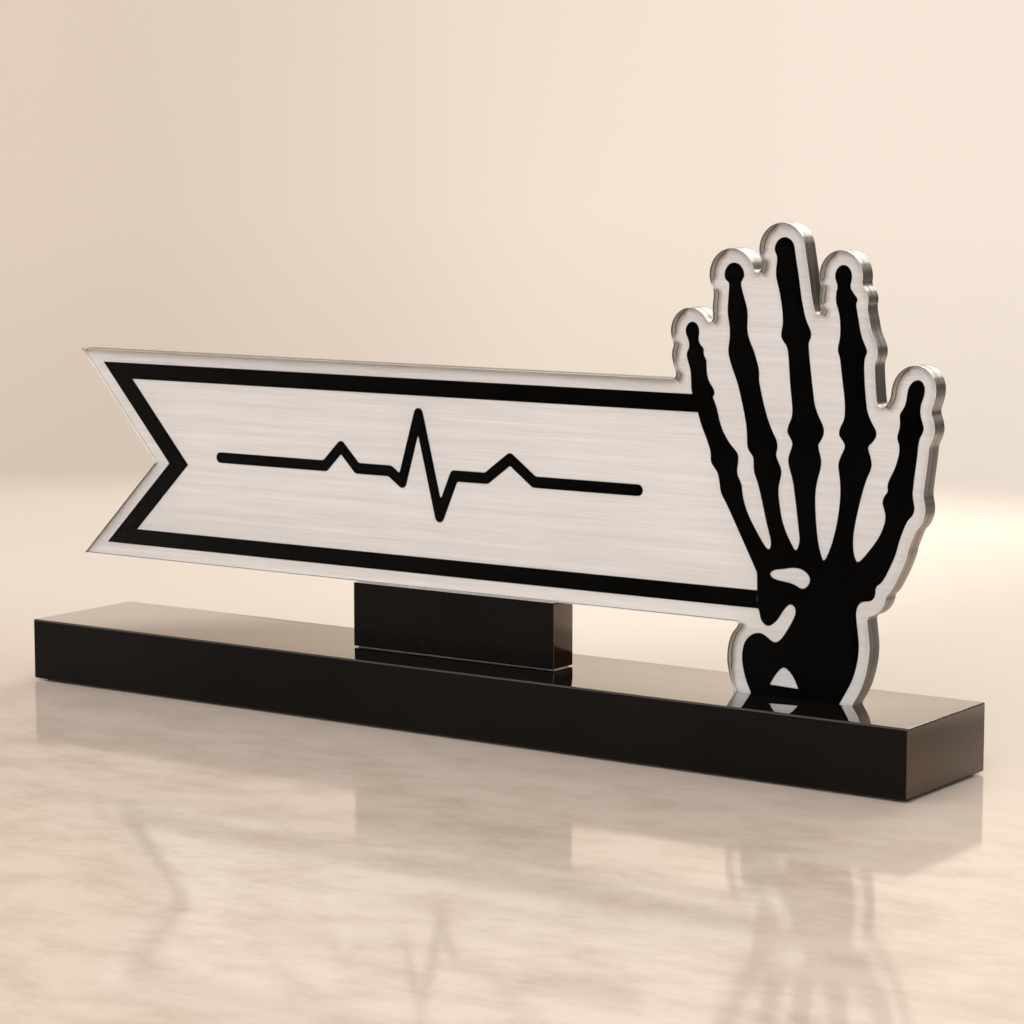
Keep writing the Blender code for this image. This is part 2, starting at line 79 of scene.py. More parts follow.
# The silver's rim, in distances from its edge.
DARK_RIM = 0.14 * MM         # all round, painted shade makes it as dark as its edge up to here
SILVER_LINE = 0.85 * MM      # in the shade of the cover's edge, a dark line ends here
LINE_WIDTH = 0.38 * MM
SILVER_RIM = 2.6 * MM        # and the shade itself ends here
SHADE_FROM = (-1.0, 0.5)     # an edge throws it by how far it faces this way,
SHADE_RANGE = (0.60, 0.95)   # from none of it to all of it between these shares,
SHADE_START = 0.0            # and only to the right of this place along X

# The camera's place, its turn about Z and its dip from level in degrees, and its lens.
CAMERA_PLACE = (0.475128, -0.659021, 0.161125)
CAMERA_TURN = 34.9557
CAMERA_DIP = 7.0559
CAMERA_LENS = 101.85
CAMERA_NEAR = 0.01           # nothing closer than this is seen
SENSOR = 36.0


def linear(red, green, blue):
    """The linear colour of a screen colour given as three numbers up to 255."""
    shares = np.array([red, green, blue]) / 255
    return tuple(np.where(shares > 0.04045, ((shares + 0.055) / 1.055) ** 2.4, shares / 12.92))


# Where a finish has two tones, it wanders between them.
ACRYLIC_BEND = 1.49                   # how strongly acrylic bends light
SILVER_TONES = (linear(207, 202, 200), linear(228, 223, 221))
SHADED_TONES = (linear(140, 130, 122), linear(182, 172, 164))
LINE_TONE = linear(110, 99, 91)
FILM_TONES = ((0.0006, 0.0005, 0.0004), (0.0016, 0.0013, 0.0011))
CLEAR_TONES = ((0.99, 0.99, 0.985), (0.97, 0.97, 0.962))
CLEAR_SHADOW = (0.98, 0.98, 0.975, 1.0)
# the cover's broken edge is pale: a painted highlight
HIGHLIGHT_ARRIS_TONES = (linear(196, 188, 181), linear(240, 235, 230))
TAPE_TONES = (linear(214, 206, 198), linear(252, 248, 243))
DUST_TONE = (0.30, 0.27, 0.24)
WARM = (1.0, 0.78, 0.60)              # painted warmth: the black acrylic's ends mirror the room with this tint

# The cut edge's colours, which paint its reflections and highlight by the way it faces: upright,
# and between which shares of facing up each next one comes in.
UPRIGHT_EDGE = linear(88, 83, 79)
PAINTED_EDGE_TONES = ((-0.10, -0.35, linear(176, 159, 145)), (0.15, 0.36, linear(146, 139, 133)),
              (0.42, 0.56, linear(250, 246, 240)), (0.70, 0.92, linear(132, 118, 107)))
STREAK_TONE = (0.03, 0.028, 0.026)
STREAK_SHARE = 0.45
INSIDE_TONES = (linear(88, 78, 71), linear(150, 140, 131))
LIT_TONE = linear(255, 250, 244)
LIT_INSIDE = (0.45, 0.0, 0.89)        # inside, painted light makes it cream where it faces this way,
LIT_RANGE = (0.60, 0.85)              # from not at all to fully between these shares

# The backdrop's colours, from the picture's left to its right, and what scales them above it.
BACKDROP_LEFT = linear(225, 206, 189)
BACKDROP_RIGHT = linear(249, 234, 218)
PICTURE_RIGHT = (0.8196, 0.5729, 0.0)
ACROSS_RANGE = (-0.16, 0.13)
ABOVE_LEFT = (0.70, 0.66, 0.62)
ABOVE_RIGHT = (1.12, 1.06, 0.98)
ABOVE_HEIGHT = (0.055, 0.09)
LOW_HEIGHT = (-0.11, -0.02)           # low down it is dimmed
LOW_SHARE = 0.90                      # to this much
BEAM_TURN = (0.0, 0.9, -0.61)         # and broad streaks cross it, turned and stretched like this,
BEAM_SCALE = (9.0, 1.0, 2.0)
BEAM_SHARES = (0.97, 1.03)            # that scale it between these

# The floor's colours. Behind the object it turns paler on the left and darker on the right: painted
# light and shade.
FLOOR_SIZE = 12.0
FLOOR_COLOUR = linear(218, 202, 188)
FLOOR_GRAIN = linear(200, 182, 167)
FLOOR_BACK = linear(234, 223, 212)
FLOOR_RIGHT = linear(200, 192, 184)
BACK_RANGE = (-0.06, 0.14)            # places along Y between which it turns
RIGHT_RANGE = (-0.08, 0.05)           # and places along X from its left to its right
GRAIN_SIZES = (0.026, 0.016, 0.03)
GRAIN_NEAR = (0.02, -0.10)            # its grain grows between these places along Y
GRAIN_FAR_SHARE = 0.25                # from this much
POOL_CENTRE = (-0.08, -0.06, 0.0)     # away from this place it runs out into the backdrop
POOL_EDGE = (0.53, 0.70)              # between these distances

# The room's plain light. From in front there is more of it, of which a mirror shows only a share.
ROOM_COLOUR = (1.0, 0.96, 0.92, 1.0)
ROOM_LEVEL = 0.80
FRONT_LEVEL = 1.7
FRONT_RANGE = (-0.25, -0.70)
MIRROR_SHARE = 0.5
BEHIND_RANGE = (-0.30, 0.0)           # behind the object, the backdrop is seen in its place

# Each lamp's name, place, the place it faces, width, height, radiance and colour.
LAMPS = (
    ("back_softbox", (-0.08, 0.98, 0.77), (-0.02, 0.0, 0.07), 0.65, 0.34, 9.5, (1.0, 0.97, 0.93)),
    ("front_softbox", (0.60, -1.35, 1.00), (0.0, 0.0, 0.06), 1.2, 0.9, 2.6, (1.0, 0.985, 0.97)),
)

# The black card's ends along X, its depth, its lower and upper edge, and its colour.
CARD_LEFT, CARD_RIGHT = 0.15, 0.75
CARD_DEPTH = 0.45
CARD_LOW, CARD_HIGH = 0.05, 0.30
CARD_COLOUR = (0.004, 0.003, 0.003, 1.0)


# Outlines

def cut_lines(node, axis, highest=False):
    """The closed lines round a CAD node's flat face at one end of an axis, the longest line first.

    A triangle lies on that face if its three corners do. A side that no neighbour on the face
    shares is part of a line, and the lines are followed from side to side.
    """
    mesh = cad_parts[node].data
    places = np.empty(len(mesh.vertices) * 3)
    mesh.vertices.foreach_get("co", places)
    places = places.reshape(-1, 3)
    mesh.calc_loop_triangles()
    corners = np.empty(len(mesh.loop_triangles) * 3, dtype=np.int32)
    mesh.loop_triangles.foreach_get("vertices", corners)
    across = [other for other in range(3) if other != axis]
    level = places[:, axis].max() if highest else places[:, axis].min()
    rounded = np.round(places / SAME_PLACE).astype(np.int64)
    keys, joined = np.unique(rounded, axis=0, return_inverse=True)
    triangles = corners.reshape(-1, 3)
    on_face = np.all(np.abs(places[triangles, axis] - level) < 10 * SAME_PLACE, axis=1)
    triangles = joined.reshape(-1)[triangles[on_face]]
    sides = np.vstack([triangles[:, pair] for pair in ((0, 1), (1, 2), (2, 0))])
    shared = set(map(tuple, sides[:, ::-1].tolist()))
    follows = {a: b for a, b in sides.tolist() if (a, b) not in shared}
    lines = []
    while follows:
        walk = [next(iter(follows))]
        while walk[-1] in follows:
            walk.append(follows.pop(walk[-1]))
        lines.append(keys[walk[:-1]][:, across] * SAME_PLACE)
    return sorted(lines, key=lambda line: -np.hypot(*(line - np.roll(line, 1, axis=0)).T).sum())


def area(line):
    """The area inside a closed line: half the sum of the cross products of its corners.

    It is negative if the line runs clockwise.
    """
    after = np.roll(line, -1, axis=0)
    return 0.5 * np.sum(line[:, 0] * after[:, 1] - line[:, 1] * after[:, 0])


def turned(line, clockwise=False):
    """The same line, running the way that is asked for."""
    return line if (area(line) < 0) == clockwise else line[::-1]


def fine_line(line):
    """A finer, smooth line through a closed line's corners.

    Each run is a cubic Hermite curve. Its end directions are the mean of the two runs that meet,
    the shorter one counting more, but a straight run and a sharp bend keep their own directions.
    """
    run = np.roll(line, -1, axis=0) - line
    length = np.hypot(*run.T)[:, None]
    ahead = run / length
    behind = np.roll(ahead, 1, axis=0)
    length_behind = np.roll(length, 1, axis=0)
    mean = behind * length + ahead * length_behind
    mean /= np.hypot(*mean.T)[:, None]
    bend = np.degrees(np.arccos(np.clip(np.sum(ahead * behind, axis=1), -1, 1)))[:, None]
    sharp = bend > SHARP_BEND
    straight, straight_behind = length > STRAIGHT, length_behind > STRAIGHT
    starts = np.where(sharp | straight, ahead, np.where(straight_behind, behind, mean))
    ends = np.where(sharp | straight_behind, behind, np.where(straight, ahead, mean))
    ends = np.roll(ends, -1, axis=0)
    points = []
    counts = np.where(straight, 1, np.ceil(length / FINE_STEP)).astype(int)[:, 0]
    for count in np.unique(counts):
        t = (np.arange(count) / count)[None, :, None]
        pick = np.nonzero(counts == count)[0]
        p, q = line[pick][:, None], np.roll(line, -1, axis=0)[pick][:, None]
        m, n = (starts * length)[pick][:, None], (ends * length)[pick][:, None]
        curve = ((2 * t ** 3 - 3 * t ** 2 + 1) * p + (t ** 3 - 2 * t ** 2 + t) * m
                 + (3 * t ** 2 - 2 * t ** 3) * q + (t ** 3 - t ** 2) * n)
        order = pick[:, None] + t[0, :, 0]
        points.append(np.column_stack([order.ravel(), curve.reshape(-1, 2)]))
    points = np.vstack(points)
    return points[np.argsort(points[:, 0], kind="stable"), 1:]


def inset(line, distance):
    """The line moved to its left by a distance, with mitred corners.

    Each point moves along the sum of its two sides' normals over one plus their dot product.
    """
    side = np.roll(line, -1, axis=0) - line
    side /= np.hypot(*side.T)[:, None]
    normal = np.column_stack([-side[:, 1], side[:, 0]])
    before = np.roll(normal, 1, axis=0)
    miter = (normal + before) / (1 + np.sum(normal * before, axis=1))[:, None]
    return line + distance * miter


def rounded_rectangle(low, high, radius):
    """A rectangle with quarter-circle corners, anticlockwise.

    A corner's points are its centre plus the radius times (cos, sin) of the angle.
    """
    angles = np.radians(np.linspace(0, 90, ARC_STEPS + 1))
    centres = [(high[0] - radius, high[1] - radius), (low[0] + radius, high[1] - radius),
               (low[0] + radius, low[1] + radius), (high[0] - radius, low[1] + radius)]
    quarters = []
    for centre, turn in zip(centres, np.radians([0, 90, 180, 270])):
        circle = np.column_stack([np.cos(angles + turn), np.sin(angles + turn)])
        quarters.append(np.array(centre) + radius * circle)
    return np.vstack(quarters)


# Solids

def round_over(low, high, radii, low_arris, side, high_arris):
    """A sheet's section: inset and level of each row, and the finish of the band above it.

    It goes from the lower face round a quarter circle, up the side and round to the upper face.
    Along a quarter circle the inset is the radius times one less the sine of the angle, and the
    rise is the radius times one less its cosine.
    """
    angles = np.radians(np.linspace(0, 90, ARC_STEPS + 1))
    out = 1 - np.sin(angles)
    up = 1 - np.cos(angles)
    rows = [(radii[0] * i, low + radii[0] * u, low_arris) for i, u in zip(out, up)]
    rows += [(radii[1] * i, high - radii[1] * u, high_arris) for i, u in zip(out[::-1], up[::-1])]
    rows[ARC_STEPS] = (*rows[ARC_STEPS][:2], side)
    return rows


def band_finishes(line, finish):
    """A band's finish on each run of its line.

    Of a pair, the first is for the runs along the first axis and the second for the others.
    """
    if isinstance(finish, str):
        return [finish] * len(line)
    run = np.abs(np.roll(line, -1, axis=0) - line)
    return np.where(run[:, 0] > run[:, 1], *finish).tolist()


def upright(across, level, depth):
    """The points of a line that stands upright at a depth: its two numbers are X and Z."""
    return np.column_stack([across, np.full(len(across), depth), level])


def lying(across, along, height):
    """The points of a line that lies flat at a height: its two numbers are X and Y."""
    return np.column_stack([across, along, np.full(len(across), height)])


def new_object(name, data):
    """A new object in the scene that shows the data."""
    made = bpy.data.objects.new(name, data)
    bpy.context.collection.objects.link(made)
    return made


def new_solid(name, points, faces, finishes, from_edge, flat):
    """A closed object with a finish on each face, smooth but for its flat faces and sharp bends.

    Each point keeps its distance from the cut edge, for the finishes to read.
    """
    mesh = bpy.data.meshes.new(name)
    mesh.from_pydata(points.tolist(), [], faces)
    names = sorted(set(finishes), key=finishes.index)
    for finish in names:
        mesh.materials.append(FINISHES[finish]())
    mesh.polygons.foreach_set("material_index", [names.index(finish) for finish in finishes])
    mesh.attributes.new("from_edge", "FLOAT", "POINT").data.foreach_set("value", from_edge)
    smooth = np.ones(len(faces), dtype=bool)
    smooth[flat] = False
    mesh.polygons.foreach_set("use_smooth", smooth)
    work = bmesh.new()
    work.from_mesh(mesh)
    bmesh.ops.recalc_face_normals(work, faces=work.faces)
    work.to_mesh(mesh)
    work.free()
    mesh.set_sharp_from_angle(angle=math.radians(SHARP_BEND))
    return new_object(name, mesh)


def carried(name, walls, caps, lay):
    """A solid made of walls, each a section carried along a closed line, and of flat caps.

    A wall's grid of points is the line, set in by each row's inset, at each row's level. A cap
    fills the space inside one row and outside the others that are named with it.
    """
    points, faces, finishes, from_edge, starts, flat = [], [], [], [], [], []
    count = 0
    for line, section in walls:
        around = np.arange(len(line))
        after = np.roll(around, -1)
        starts.append([count + row * len(line) for row in range(len(section))])
        for row, (distance, level, finish) in enumerate(section):
            moved = inset(line, distance)
            points.append(lay(moved[:, 0], moved[:, 1], level))
            from_edge.append(np.full(len(line), distance))
            if row + 1 < len(section):
                low, high = count, count + len(line)
                band = np.column_stack([low + around, low + after, high + after, high + around])
                faces += band.tolist()
                finishes += band_finishes(line, finish)
            count += len(line)
    for finish, rings in caps:
        loops, members = [], []
        for wall, row in rings:
            line, section = walls[wall]
            members.append(np.arange(len(line)) + starts[wall][row])
            loops.append([Vector((a, b, 0)) for a, b in inset(line, section[row][0])])
        members = np.concatenate(members)
        filled = members[np.array(tessellate_polygon(loops))].tolist()
        flat += range(len(faces), len(faces) + len(filled))
        faces += filled
        finishes += [finish] * len(filled)
    return new_solid(name, np.vstack(points), faces, finishes, np.concatenate(from_edge), flat)


def sheet(name, lines, section, finish_low, finish_high):
    """An upright sheet cut along its lines, with that section on each."""
    walls = [(line, section) for line in lines]
    last = len(section) - 1
    caps = [(finish_low, [(wall, 0) for wall in range(len(walls))]),
            (finish_high, [(wall, last) for wall in range(len(walls))])]
    return carried(name, walls, caps, upright)


def shade_from_left(silver, line):
    """Keep the shade on the silver's rim only where the hand's edges face left and up.

    A point's share of it grows with the dot product of its outward normal and SHADE_FROM, and what
    is missing is added to its distance from the edge.
    """
    side = np.roll(line, -1, axis=0) - np.roll(line, 1, axis=0)
    outward = np.column_stack([side[:, 1], -side[:, 0]]) / np.hypot(*side.T)[:, None]
    share = np.clip((outward @ SHADE_FROM - SHADE_RANGE[0]) / np.ptp(SHADE_RANGE), 0, 1)
    share *= line[:, 0] > SHADE_START
    distances = np.empty(len(silver.data.vertices))
    silver.data.attributes["from_edge"].data.foreach_get("value", distances)
    distances += np.resize((1 - share) * SILVER_RIM, len(distances))
    silver.data.attributes["from_edge"].data.foreach_set("value", distances)


def fit(piece, slot, *nodes):
    """Put a finished piece in place of its CAD nodes."""
    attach(piece, "root")
    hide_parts(*nodes)
    return piece


# Nodes

def put(tree, kind, sockets=None, **settings):
    """A new node with its settings, each socket given a value or a link."""
    made = tree.nodes.new("ShaderNode" + kind)
    for name, value in settings.items():
        setattr(made, name, value)
    for name, value in (sockets or {}).items():
        if isinstance(value, bpy.types.NodeSocket):
            tree.links.new(value, made.inputs[name])
        else:
            made.inputs[name].default_value = value
    return made


def maths(tree, operation, *values):
    """The result of an operation on one or two numbers."""
    return put(tree, "Math", dict(enumerate(values)), operation=operation).outputs[0]


def dot(tree, first, second):
    """How far two directions agree: their dot product."""
    return put(tree, "VectorMath", {0: first, 1: second}, operation="DOT_PRODUCT").outputs["Value"]


def parts(tree, vector):
    """A place's three numbers."""
    return list(put(tree, "SeparateXYZ", {0: vector}).outputs)


def blend(tree, share, first, second):
    """The colour between two colours."""
    made = put(tree, "Mix", {0: share}, data_type="RGBA")
    for socket, value in ((made.inputs[6], first), (made.inputs[7], second)):
        if isinstance(value, bpy.types.NodeSocket):
            tree.links.new(value, socket)
        else:
            socket.default_value = (*value[:3], 1.0)
    return made.outputs[2]


def spread(tree, value, low, high, to_low=0.0, to_high=1.0, smooth=False):
    """The value's range from low to high stretched over another range, and held at its ends."""
    kind = "SMOOTHSTEP" if smooth else "LINEAR"
    sockets = {"Value": value, "From Min": low, "From Max": high,
               "To Min": to_low, "To Max": to_high}
    return put(tree, "MapRange", sockets, interpolation_type=kind).outputs["Result"]


def between(tree, share, first, second):
    """The number between two numbers."""
    return spread(tree, share, 0.0, 1.0, first, second)


def weighed(tree, weight, first, second):
    """The first number by its weight, plus the second by what that leaves of one."""
    return maths(tree, "ADD", maths(tree, "MULTIPLY", first, weight),
                 maths(tree, "MULTIPLY", second, 1.0 - weight))


def stretched(tree, vector, sizes):
    """The place divided by a size along each axis."""
    scaled = [maths(tree, "DIVIDE", part, size) for part, size in zip(parts(tree, vector), sizes)]
    return put(tree, "CombineXYZ", dict(enumerate(scaled))).outputs[0]


def noise(tree, vector, scale=1.0, detail=2.0, roughness=0.5):
    """A cloudy value about one half, whose clouds are one over the scale across."""
    sockets = {"Vector": vector, "Scale": scale, "Detail": detail, "Roughness": roughness}
    return put(tree, "TexNoise", sockets).outputs["Fac"]


def bump(tree, height, distance):
    """The normal of a surface that is raised by up to a distance."""
    sockets = {"Height": height, "Strength": 1.0, "Distance": distance}
    return put(tree, "Bump", sockets).outputs[0]


# Effects that several finishes share

def effect(name, inputs, outputs, wire):
    """The node group of that name, wired the first time it is asked for."""
    tree = bpy.data.node_groups.get(name)
    if tree:
        return tree
    tree = bpy.data.node_groups.new(name, "ShaderNodeTree")
    for label, value in inputs.items():
        kind = "NodeSocketVector" if label == "Vector" else "NodeSocketFloat"
        socket = tree.interface.new_socket(label, in_out="INPUT", socket_type=kind)
        if label != "Vector":
            socket.default_value = value
    for label, kind in outputs.items():
        tree.interface.new_socket(label, in_out="OUTPUT", socket_type=kind)
    given = tree.nodes.new("NodeGroupInput")
    taken = tree.nodes.new("NodeGroupOutput")
    for label, socket in wire(tree, given.outputs).items():
        tree.links.new(socket, taken.inputs[label])
    return tree


def use(tree, group, vector, **values):
    """A node that uses an effect at a place, with its values."""
    made = put(tree, "Group", node_tree=group)
    tree.links.new(vector, made.inputs["Vector"])
    for label, value in values.items():
        made.inputs[label.replace("_", " ").capitalize()].default_value = value
    return made.outputs


def brushed_lines():
    """Fine lines drawn along X, each Line length long and about Line pitch apart, as a value.

    Six tenths of it are the fine lines, and the rest are the same lines 3.3 times as coarse.
    """
    def wire(tree, given):
        sizes = (given["Line length"], given["Line pitch"], given["Line pitch"])
        fine = stretched(tree, given["Vector"], sizes)
        fine = noise(tree, fine, detail=3.0, roughness=0.65)
        coarse_sizes = [maths(tree, "MULTIPLY", size, 3.3) for size in sizes]
        coarse = noise(tree, stretched(tree, given["Vector"], coarse_sizes))
        return {"Lines": spread(tree, weighed(tree, 0.6, fine, coarse), 0.34, 0.66)}
    return effect("brushed lines", {"Vector": None, "Line length": 0.02, "Line pitch": 0.0005},
                  {"Lines": "NodeSocketFloat"}, wire)


def cut_streaks():
    """The lines that a cutter leaves along a sheet's edge: long across X and Z, fine in Y."""
    def wire(tree, given):
        sizes = (given["Streak length"], given["Streak pitch"], given["Streak length"])
        lines = stretched(tree, given["Vector"], sizes)
        return {"Streaks": spread(tree, noise(tree, lines, roughness=0.55), 0.30, 0.70)}
    return effect("cut streaks", {"Vector": None, "Streak length": 0.012, "Streak pitch": 0.0006},
                  {"Streaks": "NodeSocketFloat"}, wire)


def soft_patches():
    """Slow changes of tone, Patch size across."""
    def wire(tree, given):
        clouds = stretched(tree, given["Vector"], [given["Patch size"]] * 3)
        clouds = noise(tree, clouds, detail=2.5, roughness=0.55)
        return {"Tone": spread(tree, clouds, 0.30, 0.70)}
    return effect("soft patches", {"Vector": None, "Patch size": 0.03},
                  {"Tone": "NodeSocketFloat"}, wire)


def handling_marks():
    """The haze of wiping and fine dust on a polished face: low where clean, high where marked."""
    def wire(tree, given):
        wipes = stretched(tree, given["Vector"], (0.045, 0.012, 0.02))
        wipes = noise(tree, wipes, detail=3.0, roughness=0.6)
        haze = maths(tree, "MULTIPLY", spread(tree, wipes, 0.45, 0.75), 0.7)
        specks = noise(tree, given["Vector"], scale=900.0, detail=1.0)
        dust = maths(tree, "MULTIPLY", spread(tree, specks, 0.66, 0.76), given["Dust"])
        return {"Haze": maths(tree, "ADD", haze, dust), "Dust": dust}
    return effect("handling marks", {"Vector": None, "Dust": 0.5},
                  {"Haze": "NodeSocketFloat", "Dust": "NodeSocketFloat"}, wire)


def backdrop_tone():
    """The backdrop's colour in a direction.

    It is darker to the left and low down, with faint broad streaks, and is scaled once more above
    the picture.
    """
    def wire(tree, given):
        across = dot(tree, given["Vector"], PICTURE_RIGHT)
        height = parts(tree, given["Vector"])[2]
        share = spread(tree, across, *ACROSS_RANGE, smooth=True)
        colour = blend(tree, share, BACKDROP_LEFT, BACKDROP_RIGHT)
        dim = spread(tree, height, *LOW_HEIGHT, LOW_SHARE, 1.0)
        beams = put(tree, "Mapping", {"Vector": given["Vector"], "Rotation": BEAM_TURN,
                                      "Scale": BEAM_SCALE}).outputs[0]
        beams = spread(tree, noise(tree, beams, detail=1.0), 0.35, 0.65, *BEAM_SHARES)
        shade = maths(tree, "MULTIPLY", dim, beams)
        above = blend(tree, share, ABOVE_LEFT, ABOVE_RIGHT)
        is_above = spread(tree, height, *ABOVE_HEIGHT, smooth=True)
        above = blend(tree, is_above, (1.0, 1.0, 1.0), above)
        colour = put(tree, "VectorMath", {0: colour, 1: above}, operation="MULTIPLY").outputs[0]
        shaded = put(tree, "VectorMath", {0: colour, "Scale": shade}, operation="SCALE")
        return {"Color": shaded.outputs[0]}
    return effect("backdrop tone", {"Vector": None}, {"Color": "NodeSocketColor"}, wire)


# Finishes

def new_finish(name):
    """An empty material, its output and its Object coordinates."""
    made = bpy.data.materials.new(name)
    made.use_nodes = True
    tree = made.node_tree
    tree.nodes.clear()
    output = tree.nodes.new("ShaderNodeOutputMaterial")
    place = tree.nodes.new("ShaderNodeTexCoord").outputs["Object"]
    return made, tree, output, place


def once(wire):
    """Makes a finish the first time it is asked for, under its function's name."""
    made = []

    def ask():
        if not made:
            made.append(wire(wire.__name__))
        return made[0]
    return ask


@once
def silver_face(name):
    """Thin silver sheet, brushed along X.

    Its rim is darker, with a dark line in it, where the cover's edge throws its shade.
    """
    made, tree, output, place = new_finish(name)
    lines = use(tree, brushed_lines(), place, line_length=0.028, line_pitch=0.0005)["Lines"]
    tone = use(tree, soft_patches(), place, patch_size=0.03)["Tone"]
    colour = blend(tree, weighed(tree, 0.85, lines, tone), *SILVER_TONES)
    edge = put(tree, "Attribute", attribute_name="from_edge").outputs["Fac"]
    streaks = use(tree, cut_streaks(), place, streak_length=0.02, streak_pitch=0.0011)["Streaks"]
    shaded = blend(tree, streaks, *SHADED_TONES)
    lit = spread(tree, edge, SILVER_LINE, SILVER_RIM, smooth=True)
    colour = blend(tree, lit, shaded, colour)
    half = LINE_WIDTH / 2
    line_start = spread(tree, edge, SILVER_LINE - LINE_WIDTH, SILVER_LINE - half, smooth=True)
    line_end = spread(tree, edge, SILVER_LINE, SILVER_LINE + half, 1.0, 0.0, smooth=True)
    colour = blend(tree, maths(tree, "MULTIPLY", line_start, line_end), colour, LINE_TONE)
    shader = put(tree, "BsdfPrincipled", {"Base Color": colour, "Metallic": 0.15,
                                          "Roughness": between(tree, lines, 0.46, 0.36),
                                          "Normal": bump(tree, lines, 0.012 * MM)})
    tree.links.new(shader.outputs[0], output.inputs[0])
    return made


@once
def black_cut_film(name):
    """The thin black cut shapes behind the cover."""
    made, tree, output, place = new_finish(name)
    tone = use(tree, soft_patches(), place, patch_size=0.02)["Tone"]
    shader = put(tree, "BsdfPrincipled", {"Base Color": blend(tree, tone, *FILM_TONES),
                                          "Roughness": between(tree, tone, 0.42, 0.55),
                                          "Specular IOR Level": 0.0})
    tree.links.new(shader.outputs[0], output.inputs[0])
    return made


def clear_acrylic(name, bend, glare, clean, hazy):
    """Clear acrylic that light bends into by its index, and that lamps shine through."""
    made, tree, output, place = new_finish(name)
    haze = use(tree, handling_marks(), place, dust=0.2)["Haze"]
    glass = put(tree, "BsdfPrincipled", {"Base Color": blend(tree, haze, *CLEAR_TONES),
                                         "Roughness": between(tree, haze, clean, hazy),
                                         "IOR": bend, "Transmission Weight": 1.0,
                                         "Specular Tint": (glare, glare, glare, 1.0)})
    through = put(tree, "BsdfTransparent", {"Color": CLEAR_SHADOW})
    lamp_ray = put(tree, "LightPath").outputs["Is Shadow Ray"]
    shown = put(tree, "MixShader", {0: lamp_ray, 1: glass.outputs[0], 2: through.outputs[0]})
    tree.links.new(shown.outputs[0], output.inputs[0])
    return made


@once
def clear_cover(name):
    """The cover's front, coated against glare, with the faint haze of wiping."""
    return clear_acrylic(name, bend=ACRYLIC_BEND, glare=0.04, clean=0.012, hazy=0.05)


@once
def bonded_face(name):
    """The cover's back, stuck down without air, so that nothing bends or mirrors there."""
    return clear_acrylic(name, bend=1.0, glare=0.0, clean=0.0, hazy=0.0)


@once
def cut_edge(name):
    """The sheets' cut edge, streaked, and brown-grey where the cover shows its inside.

    Outside, its tone follows how far it faces up or down, and is darkest where it is upright:
    painted reflections of the room, with a painted highlight where it faces partly up.
    Inside, a stretch that faces up and right turns cream with painted light from above.
    """
    made, tree, output, place = new_finish(name)
    streaks = use(tree, cut_streaks(), place, streak_length=0.03, streak_pitch=0.0012)["Streaks"]
    shape = put(tree, "NewGeometry").outputs
    upward = parts(tree, shape["Normal"])[2]
    # Outside: painted reflections and a painted highlight, by how far it faces up.
    outside = UPRIGHT_EDGE
    for low, high, tone in PAINTED_EDGE_TONES:
        outside = blend(tree, spread(tree, upward, low, high, smooth=True), outside, tone)
    outside = blend(tree, maths(tree, "MULTIPLY", streaks, STREAK_SHARE), outside, STREAK_TONE)
    inside = blend(tree, streaks, *INSIDE_TONES)
    # Inside: painted light, cream where it faces up and right.
    lit = spread(tree, dot(tree, shape["Normal"], LIT_INSIDE), *LIT_RANGE, smooth=True)
    inside = blend(tree, lit, inside, LIT_TONE)
    colour = blend(tree, shape["Backfacing"], outside, inside)
    shader = put(tree, "BsdfPrincipled", {"Base Color": colour, "IOR": ACRYLIC_BEND,
                                          "Roughness": between(tree, streaks, 0.26, 0.38),
                                          "Normal": bump(tree, streaks, 0.01 * MM)})
    tree.links.new(shader.outputs[0], output.inputs[0])
    return made


@once
def bright_arris(name):
    """The broken edge of the clear cover, pale as a painted highlight."""
    made, tree, output, place = new_finish(name)
    tone = use(tree, soft_patches(), place, patch_size=0.006)["Tone"]
    shader = put(tree, "BsdfPrincipled", {"Base Color": blend(tree, tone, *HIGHLIGHT_ARRIS_TONES),
                                          "Roughness": 0.25, "IOR": ACRYLIC_BEND})
    tree.links.new(shader.outputs[0], output.inputs[0])
    return made


def black_acrylic(name, dark, light, clean, marked,
                  bend=1.5, gloss=0.5, lacquer=0.0, tint=(1.0, 1.0, 1.0)):
    """Black cast acrylic: nearly no colour of its own, and a gloss that haze and dust take down."""
    made, tree, output, place = new_finish(name)
    marks = use(tree, handling_marks(), place, dust=0.25)
    tone = use(tree, soft_patches(), place, patch_size=0.05)["Tone"]
    colour = blend(tree, tone, dark, light)
    colour = blend(tree, maths(tree, "MULTIPLY", marks["Dust"], 0.06), colour, DUST_TONE)
    shader = put(tree, "BsdfPrincipled", {"Base Color": colour, "IOR": bend,
                                          "Roughness": between(tree, marks["Haze"], clean, marked),
                                          "Specular IOR Level": gloss,
                                          "Specular Tint": (*tint, 1.0),
                                          "Coat Weight": lacquer, "Coat Roughness": 0.03})
    tree.links.new(shader.outputs[0], output.inputs[0])
    return made


@once
def polished_black(name):
    """The faces that are polished like a mirror, and lacquered."""
    return black_acrylic(name, dark=(0.0035, 0.0028, 0.0022), light=(0.0060, 0.0048, 0.0038),
                         clean=0.02, marked=0.06, lacquer=1.0)


@once
def satin_black(name):
    """The long sides, rubbed down so that they mirror next to nothing."""
    return black_acrylic(name, dark=(0.0036, 0.0030, 0.0024), light=(0.0060, 0.0050, 0.0040),
                         clean=0.22, marked=0.34, gloss=0.06)


@once
def end_black(name):
    """The ends: glossy, and lighter and warmer in colour than the long sides, as painted light."""
    return black_acrylic(name, dark=(0.016, 0.008, 0.003), light=(0.024, 0.012, 0.005),
                         clean=0.10, marked=0.20, bend=1.88, tint=WARM)


@once
def black_arris(name):
    """The broken edges, a little greyer than the faces."""
    return black_acrylic(name, dark=(0.016, 0.014, 0.012), light=(0.036, 0.032, 0.028),
                         clean=0.16, marked=0.30)


